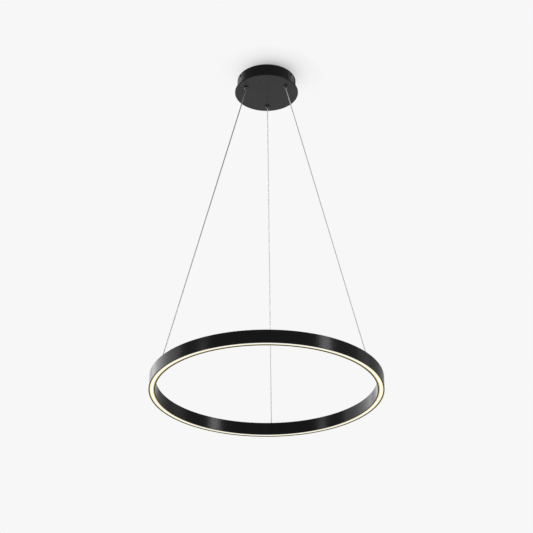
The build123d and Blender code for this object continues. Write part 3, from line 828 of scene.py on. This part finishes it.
spring = spring_recipe()
gripper_finish = gripper_black()
spring_finish = spring_steel()
anchor = bpy.data.meshes.new("spring_anchor")
spring_sizes = {
    "Coil Radius": spring_radius,
    "Wire Radius": spring_wire,
    "Turns": spring_turns,
    "Rise": spring_high - spring_low,
    "Steps": 36,
}
ball_holes = [around(turn * 120.0, ball_bit / 2, ball_height) @ sideways for turn in range(3)]
dress(zinc_finish, "gripper_nuts")
for number, angle in enumerate(cable_angles, 1):
    place = around(angle, gripper_circle)
    name = f"gripper_{number}"
    body_mesh = drilled(turned(name, [body_outline], gripper_finish, steps=64))
    body_mesh.transform(place)
    show(name + "_turned_body", body_mesh, "canopy", "black_metal", name + "_body")
    nozzle_mesh = turned(name, [nozzle_outline], gripper_finish, steps=64)
    nozzle_mesh = drilled(nozzle_mesh, drill_bits(ball_hole, ball_bit, ball_holes, steps=20))
    nozzle_mesh.transform(place)
    show(name + "_turned_nozzle", nozzle_mesh, f"release_{number}", "black_metal", name + "_plunger")
    spring_mesh = facing_out(spring.make(name, anchor, spring_sizes, spring_finish))
    spring_mesh.transform(place @ Matrix.Translation((0.0, 0.0, spring_low)))
    spring_piece = show(name + "_wound_spring", spring_mesh, "canopy", "spring_steel", name + "_spring")
    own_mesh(spring_piece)
    dress(gripper_finish, name + "_cap")
    dress(spring_finish, name + "_balls")


# Cables
# Each is a clear plastic sheath over two twisted bundles of fine strands, pulled tight by the ring. It runs
# in one straight line from its gripper's mouth to the bush in the ring.

cable_radius = 0.0014
ring_middle = 0.2915
bush_top = -0.9312


def cable_recipe():
    """A round tube along a line, which notes its length and its side for the twist in its finish."""
    recipe = Recipe("sheathed_cable", {"Radius": "Float", "Sides": "Int"})
    length = recipe.node("GeometryNodeSplineParameter", {}, {}, "Length")
    noted = {"Geometry": recipe.given("Geometry"), "Name": "along", "Value": length}
    line = recipe.node("GeometryNodeStoreNamedAttribute", {"data_type": "FLOAT", "domain": "POINT"}, noted)
    circle = {"Resolution": recipe.given("Sides"), "Radius": 1.0}
    circle = recipe.node("GeometryNodeCurvePrimitiveCircle", {"mode": "RADIUS"}, circle)
    side = recipe.node("GeometryNodeInputPosition", {}, {})
    noted = {"Geometry": circle, "Name": "side", "Value": side}
    settings = {"data_type": "FLOAT_VECTOR", "domain": "POINT"}
    circle = recipe.node("GeometryNodeStoreNamedAttribute", settings, noted)
    swept = {"Curve": line, "Profile Curve": circle, "Scale": recipe.given("Radius"), "Fill Caps": True}
    recipe.close(recipe.node("GeometryNodeCurveToMesh", {}, swept))
    return recipe


def clear_sheath(name, upper, lower, length):
    """Clear PVC over twisted strands, drawn from the notes that the cable's mesh carries. Its strand tone
    goes from one given at the top to another lower down: painted light and shade, standing in for how the
    light falls along it."""
    sheath = Finish(name, IOR=1.5, Coat_Roughness=0.08, Coat_Weight=0.9)
    along = sheath.node("ShaderNodeAttribute", {"attribute_name": "along"}, {}, "Fac")
    side = sheath.node("ShaderNodeAttribute", {"attribute_name": "side"}, {}, "Vector")
    x = sheath.node("ShaderNodeSeparateXYZ", {}, {0: side}, "X")
    y = sheath.node("ShaderNodeSeparateXYZ", {}, {0: side}, "Y")
    turn = Level.maths("ARCTAN2", y, x)
    lay_length = 0.016
    lay = 2 * math.pi / lay_length
    bundle = Level.maths("SINE", turn * 2.0 + along * (2 * lay)) * 0.5 + 0.5
    strands = Level.maths("SINE", turn * 14.0 + along * (14 * lay)) * 0.5 + 0.5
    cloudy = sheath.grain(0.02, detail=3.0)
    # Painted light and shade: the strand tone goes from the upper tone to the lower one along the cable.
    strand_painted_light = sheath.blend(sheath.ramp(along, 0.1 * length, 0.9 * length), upper, lower)
    shade = 0.4 - sheath.ramp(bundle, 0.0, 0.3) * 0.4 + strands * 0.15 + cloudy * 0.1
    sheath.set(Base_Color=sheath.blend(shade, strand_painted_light, tone(60, 60, 62)))
    sheath.set(Roughness=0.4 - strands * 0.1, Normal=sheath.relief(bundle, 0.00012, 0.4))
    return sheath


cable = cable_recipe()
# Painted light and shade: the three cables are alike, but each gets its own tones, the second one painted
# much darker near the top.
painted_upper_tones = (tone(196, 197, 198), tone(92, 92, 94), tone(164, 165, 166))
painted_lower_tones = (tone(204, 205, 206), tone(166, 167, 168), tone(186, 187, 188))
for number, angle in enumerate(cable_angles, 1):
    top = around(angle, gripper_circle, nozzle_bottom).translation
    bottom = around(angle, ring_middle, bush_top).translation
    route = bpy.data.curves.new(f"cable_{number}_route", "CURVE")
    route.dimensions = "3D"
    run = route.splines.new("NURBS")
    run.points.add(2)
    for point, share in zip(run.points, (0.0, 0.5, 1.0)):
        point.co = (*top.lerp(bottom, share), 1.0)
    run.order_u = 3
    run.use_endpoint_u = True
    route.resolution_u = 16
    holder = bpy.data.objects.new("route", route)
    path = [vertex.co.copy() for vertex in bpy.data.meshes.new_from_object(holder).vertices]
    bpy.data.objects.remove(holder)
    tones = painted_upper_tones[number - 1], painted_lower_tones[number - 1]
    sheath = clear_sheath(f"clear_sheath_{number}", *tones, (bottom - top).length)
    sizes = {"Radius": cable_radius, "Sides": 24}
    cable_mesh = facing_out(cable.make(f"cable_{number}", route, sizes, sheath))
    piece = show(f"cable_{number}_sheathed", cable_mesh, "canopy", "clear_cable", f"cable_{number}")
    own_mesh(piece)


def tail_sheath():
    """The same sheath inside the canopy and the ring, seen from close by."""
    sheath = Finish("clear_sheath_tail", IOR=1.5, Coat_Roughness=0.08, Coat_Weight=0.9)
    strands = sheath.grain(0.0007, detail=3.0)
    cloudy = sheath.grain(0.01, detail=3.0)
    grey = sheath.blend(strands, tone(146, 147, 148), tone(204, 205, 206))
    sheath.set(Base_Color=sheath.blend(cloudy * 0.3, grey, tone(168, 166, 160)))
    sheath.set(Roughness=0.4, Normal=sheath.relief(strands, 0.00008))
    return sheath


tail_finish = tail_sheath()
dress(tail_finish, "cable_1_tail", "cable_2_tail", "cable_3_tail", "cable_ends")


# Ring profile
# One extruded aluminium channel, rolled into a ring and closed by a joint plate at the back left, then
# brushed and anodised black. Its upper chamber takes the cables' ends, and its lower one the lamp strip.

ring_low, ring_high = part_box("ring_profile")
ring_bottom = round(ring_low.z, 4)
ring_top = round(ring_high.z, 4)
ring_half = 0.0085
chamber_half = 0.0067
slot_half = 0.0055
lip_sheet = 0.0016
shelf_rise = 0.018
top_sheet = 0.002
lip_top = ring_bottom + lip_sheet
shelf_low = ring_bottom + shelf_rise
shelf_high = shelf_low + lip_sheet
chamber_top = ring_top - top_sheet
ring_edge = 0.0005
lip_edge = 0.0002
ring_wear = 0.0009
seam_angle = 150.0
seam_gap = 0.0002
seam_reach = 0.04
seam_height = 0.05


def about_ring(*corners):
    """An outline whose points are given from the middle of the ring's section."""
    return [(ring_middle + corner[0], *corner[1:]) for corner in corners]


ring_outline = about_ring(
    (-ring_half, ring_bottom, ring_edge),
    (-slot_half, ring_bottom, lip_edge),
    (-slot_half, lip_top, lip_edge),
    (-chamber_half, lip_top),
    (-chamber_half, shelf_low),
    (chamber_half, shelf_low),
    (chamber_half, lip_top),
    (slot_half, lip_top, lip_edge),
    (slot_half, ring_bottom, lip_edge),
    (ring_half, ring_bottom, ring_edge),
    (ring_half, ring_top, ring_edge),
    (-ring_half, ring_top, ring_edge),
)
chamber_outline = about_ring(
    (-chamber_half, shelf_high),
    (-chamber_half, chamber_top),
    (chamber_half, chamber_top),
    (chamber_half, shelf_high),
)
ring_rims = [
    (ring_middle + side * ring_half, height, ring_wear)
    for side in (-1, 1)
    for height in (ring_bottom, ring_top)
]
ring_finish = black_anodised("ring_black", turned_edges(*ring_rims))

bush_hole = 0.0026
wire_hole = 0.0015
wire_beside = 0.014
splice_screw_radius = 0.002
splice_screw_places = (-0.016, -0.006, 0.006, 0.016)

wire_turn = math.degrees(wire_beside / ring_middle)
splice_angles = [seam_angle + math.degrees(place / ring_middle) for place in splice_screw_places]
seam_place = around(seam_angle, ring_middle, (ring_bottom + ring_top) / 2)
ring_holes = (
    (bush_hole, ring_top, cable_angles),
    (wire_hole, shelf_low, [angle + wire_turn for angle in cable_angles[:2]]),
    (splice_screw_radius, ring_top, splice_angles),
)
ring_mesh = drilled(
    turned("ring_channel", [ring_outline, chamber_outline], ring_finish, steps=480),
    box_bit(seam_place, seam_reach, seam_gap, seam_height),
    *(
        drill_bits(radius, sheet_bit, [around(angle, ring_middle, height) for angle in angles])
        for radius, height, angles in ring_holes
    ),
)
show("ring_channel", ring_mesh, "ring", "black_anodised", "ring_profile")
dress(zinc_finish, "ring_splice")
dress(black_steel_finish, "splice_screws")


# Diffuser
# A soft opal strip, lit from behind, pushed into the slot until its flanges snap in over the lips.

face_depth = 0.0011
face_half = 0.00535
snap_half = 0.00655
snap_sheet = 0.0012
face_edge = 0.0002
face_low = ring_bottom + face_depth
snap_top = lip_top + snap_sheet
led_count = 120


def opal_light():
    """Opal silicone, lit: almost white, and warmer and dimmer to its edges. The inner edge is painted darker
    still: painted shade from the inner lip.
    """
    opal = Finish("opal_light", IOR=1.41, Emission_Strength=1.0)
    across = (opal.radius() - ring_middle) / (2 * face_half) + 0.5
    # The glow fades warmer and dimmer to both edges; its inner stops are darker than its outer ones, painted
    # shade of the inner lip on the strip.
    glow = opal.node(
        "ShaderNodeValToRGB",
        {
            "stops": [
                (0.0, tone(146, 124, 50)),
                (0.1, tone(204, 180, 84)),
                (0.2, tone(244, 230, 166)),
                (0.32, tone(241, 239, 232)),
                (0.75, tone(241, 239, 232)),
                (0.87, tone(244, 228, 150)),
                (1.0, tone(200, 176, 76)),
            ]
        },
        {"Fac": across},
    )
    chips = Level.maths("SINE", opal.turn() * led_count) * 0.5 + 0.5
    haze = opal.grain(0.004, detail=3.0)
    opal.set(Base_Color=opal.blend(haze * 0.5 + chips * 0.3, tone(70, 70, 68), tone(88, 88, 85)))
    opal.set(Emission_Color=glow, Roughness=0.45 + haze * 0.1)
    return opal


diffuser_outline = about_ring(
    (-face_half, face_low, face_edge),
    (face_half, face_low, face_edge),
    (face_half, lip_top),
    (snap_half, lip_top, face_edge),
    (snap_half, snap_top, face_edge),
    (-snap_half, snap_top, face_edge),
    (-snap_half, lip_top, face_edge),
    (-face_half, lip_top),
)
opal_finish = opal_light()
show(
    "diffuser_strip",
    drilled(turned("diffuser_strip", [diffuser_outline], opal_finish, steps=480)),
    "ring",
    "opal_diffuser",
    "ring_diffuser",
)


# Lamp strip
# A white flexible board stuck under the shelf, with 120 small LEDs: white bodies round yellow windows.


def strip_board():
    """White lacquer with pairs of bare copper pads between the LEDs."""
    board = Finish("strip_board", IOR=1.5)
    rail_out, rail_half = 0.0025, 0.0007
    beat = Level.maths("SINE", board.turn() * led_count)
    rail = abs(abs(board.radius() - ring_middle) - rail_out) < rail_half
    pad = rail * (beat > 0.9)
    board.set(Base_Color=board.blend(pad, tone(238, 238, 234), tone(206, 140, 96)), Metallic=pad * 0.9)
    board.set(Roughness=0.4 + board.grain(0.002) * 0.15, Normal=board.relief(board.grain(0.001), 0.00002))
    return board


def led_window():
    """A white body with a window of yellow phosphor underneath, lit."""
    led = Finish("led_window", IOR=1.5)
    window_half, window_depth = 0.0011, 0.0001
    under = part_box("led_chips")[0].z + window_depth
    window = (abs(led.radius() - ring_middle) < window_half) * (led.along("Z") < under)
    grains = led.grain(0.0002, detail=3.0)
    phosphor = led.blend(grains, tone(238, 206, 96), tone(250, 226, 140))
    led.set(Base_Color=led.blend(window, tone(236, 236, 232), phosphor))
    led.set(Emission_Color=led.blend(window, (0.0, 0.0, 0.0), tone(255, 236, 180)), Emission_Strength=1.0)
    led.set(Roughness=0.35 + grains * 0.2)
    return led


dress(strip_board(), "led_strip")
dress(led_window(), "led_chips")


# Cable ends in the ring
# A black flanged bush guides each cable through the top of the ring, and a crimped brass stop under it
# carries the ring. Two of the cables pass the current on to the strip by short red wires.

bush_flange = 0.0036
bush_body = 0.0026
bush_bottom = chamber_top - 0.001
bush_outline = [
    (cable_hole, bush_bottom, 0.0001),
    (bush_body, bush_bottom, 0.0002),
    (bush_body, ring_top),
    (bush_flange, ring_top, 0.0001),
    (bush_flange, bush_top, 0.0005),
    (cable_hole, bush_top, 0.0002),
]
one_bush = turned("bush", [bush_outline], black_steel_finish, steps=48)
one_bush = drilled(one_bush)
one_bush.transform(Matrix.Translation((ring_middle, 0.0, 0.0)))
show("cable_bushes_turned", spread_round(one_bush, black_steel_finish), "ring", "black_metal", "cable_bushes")


def crimped_brass():
    """Brass, pressed in a tool: pinched bands and bright high spots."""
    brass = Finish("crimped_brass", Metallic=1.0)
    bands = Level.maths("SINE", brass.along("Z") * 4200.0) * 0.5 + 0.5
    stain = brass.grain(0.002, detail=5.0)
    brass.set(Base_Color=brass.blend(stain, tone(198, 164, 92), tone(168, 132, 74)))
    brass.set(Roughness=0.25 + stain * 0.2, Normal=brass.relief(bands, 0.0001))
    return brass


dress(crimped_brass(), "cable_stops")
dress(red_finish, "ring_wires")


# Room
# A white ceiling above, a pale floor below and an even white surround. Nine flat lamps stand far off, and
# their reflections draw the soft bands on the black walls. A dark card darkens the canopy's right side.

ceiling_white = 0.93
ceiling_height = 0.0003
floor_height = -2.75
room_half = 30.0
contact_reach = 0.09
shade_side = math.radians(-70)


def plane(name, height, up):
    """A square stage surface that faces up or down."""
    half = room_half
    corners = [(-half, -half, height), (half, -half, height), (half, half, height), (-half, half, height)]
    order = (0, 1, 2, 3) if up else (3, 2, 1, 0)
    mesh = bpy.data.meshes.new(name)
    mesh.from_pydata(corners, [], [order])
    surface = in_scene(name, mesh)
    return surface


def see_through_behind(paint, face):
    """Shows a surface only from its front, so that a camera behind it looks into the room."""
    through = paint.node("ShaderNodeBsdfTransparent", {}, {})
    behind = paint.node("ShaderNodeNewGeometry", {}, {}, "Backfacing")
    one_sided = paint.node("ShaderNodeMixShader", {}, {0: behind, 1: face, 2: through})
    paint.plug(one_sided, paint.tree.nodes["Material Output"].inputs["Surface"])


def unseen_by(surface, *rays):
    """Hides a surface from these kinds of ray."""
    for ray in rays:
        setattr(surface, "visible_" + ray, False)


ceiling = plane("room_ceiling", ceiling_height, up=False)
paint = Finish("ceiling_paint")
# Painted shadow: occlusion near the canopy darkens the ceiling's glow. It is weighted towards one side, as a
# shadow cast by light from the other side would be.
contact = paint.node("ShaderNodeAmbientOcclusion", {"samples": 12}, {"Distance": contact_reach}, "AO")
shaded = (paint.along("X") * math.cos(shade_side) + paint.along("Y") * math.sin(shade_side)) / paint.radius()
shaded = shaded * 0.5 + 0.5
lit = 1.0 - (1.0 - contact) * shaded * shaded * shaded
lit = paint.blend(lit, (0.0, 0.0, 0.0), (ceiling_white,) * 3)
see_through_behind(paint, paint.node("ShaderNodeEmission", {}, {"Color": lit}))
ceiling.data.materials.append(paint.material)
unseen_by(ceiling, "diffuse", "glossy", "transmission", "shadow")

floor = plane("room_floor", floor_height, up=True)
carpet = Finish("floor_pale", Roughness=0.9, Specular_IOR_Level=0.0)
carpet.set(Base_Color=carpet.blend(carpet.grain(0.4, detail=3.0), (0.90, 0.90, 0.90), (0.93, 0.93, 0.93)))
see_through_behind(carpet, Level(carpet.shader.outputs["BSDF"]))
floor.data.materials.append(carpet.material)

surround_light = 0.84
seen_gain = 0.09
mirrored_loss = 0.32
world = bpy.data.worlds.new("surround")
world.use_nodes = True
bpy.context.scene.world = world
surround = Bench(world.node_tree)
camera_ray = surround.node("ShaderNodeLightPath", {}, {}, "Is Camera Ray")
glossy_ray = surround.node("ShaderNodeLightPath", {}, {}, "Is Glossy Ray")
clear_ray = surround.node("ShaderNodeLightPath", {}, {}, "Is Transmission Ray")
seen = Level.maths("MAXIMUM", camera_ray, clear_ray)
background = world.node_tree.nodes["Background"]
surround.plug(surround_light + seen * seen_gain - glossy_ray * mirrored_loss, background.inputs["Strength"])
background.inputs["Color"].default_value = (1.0, 1.0, 1.0, 1.0)


def flat_lamp(name, azimuth, width, low, high, glow, on_matt=False):
    """A flat lamp, twelve metres off, that faces the light's axis. Azimuth 0 is the camera's side, and
    the lamp's low and high edges are heights above the ceiling."""
    distance = 12.0
    angle = math.radians(azimuth + camera_turn)
    middle = (low + high) / 2
    place = Vector((math.sin(angle) * distance, -math.cos(angle) * distance, middle))
    data = bpy.data.lights.new(name, "AREA")
    data.shape = "RECTANGLE"
    data.size = width
    data.size_y = high - low
    data.energy = glow * math.pi * width * (high - low)
    lamp = in_scene(name, data)
    lamp.location = place
    target = Vector((0.0, 0.0, middle))
    lamp.rotation_euler = (target - place).to_track_quat("-Z", "Y").to_euler()
    lamp.visible_camera = False
    lamp.visible_diffuse = on_matt


flat_lamp("lamp_right", 57.6, 2.3, 0.0, 5.1, 15.5, on_matt=True)
flat_lamp("lamp_left", -62.0, 1.9, 0.0, 4.14, 9.0, on_matt=True)
flat_lamp("lamp_left_side", -117.5, 12.0, -2.0, 8.5, 2.2)
flat_lamp("lamp_left_core", -131.0, 7.3, -2.0, 8.5, 0.85)
flat_lamp("lamp_left_back", -157.0, 6.4, -2.0, 6.0, 1.1)
flat_lamp("lamp_left_low", -125.0, 12.0, -2.6, 0.4, 4.0)
flat_lamp("lamp_right_side", 107.5, 4.0, 0.5, 9.5, 0.6)
flat_lamp("lamp_right_high", 124.0, 3.6, 7.4, 9.5, 0.7)
flat_lamp("lamp_back", 180.0, 6.0, 0.5, 6.0, 0.36)

card_half = 5.6
card_low = 6.2
card_high = 11.0
card_azimuth = 170.0
card_distance = 11.8
card_place = around(card_azimuth + camera_turn - 90.0, card_distance)
corners = [(-card_half, card_low), (card_half, card_low), (card_half, card_high), (-card_half, card_high)]
corners = [card_place @ Vector((0.0, y, z)) for y, z in corners]
card_mesh = bpy.data.meshes.new("dark_card")
card_mesh.from_pydata(corners, [], [(0, 1, 2, 3)])
card = in_scene("dark_card", card_mesh)
unseen_by(card, "camera", "diffuse", "transmission", "shadow")
felt = Finish("card_felt", Roughness=1.0, Specular_IOR_Level=0.0)
felt.set(Base_Color=felt.blend(felt.grain(0.2), (0.01, 0.01, 0.01), (0.02, 0.02, 0.02)))
card_mesh.materials.append(felt.material)
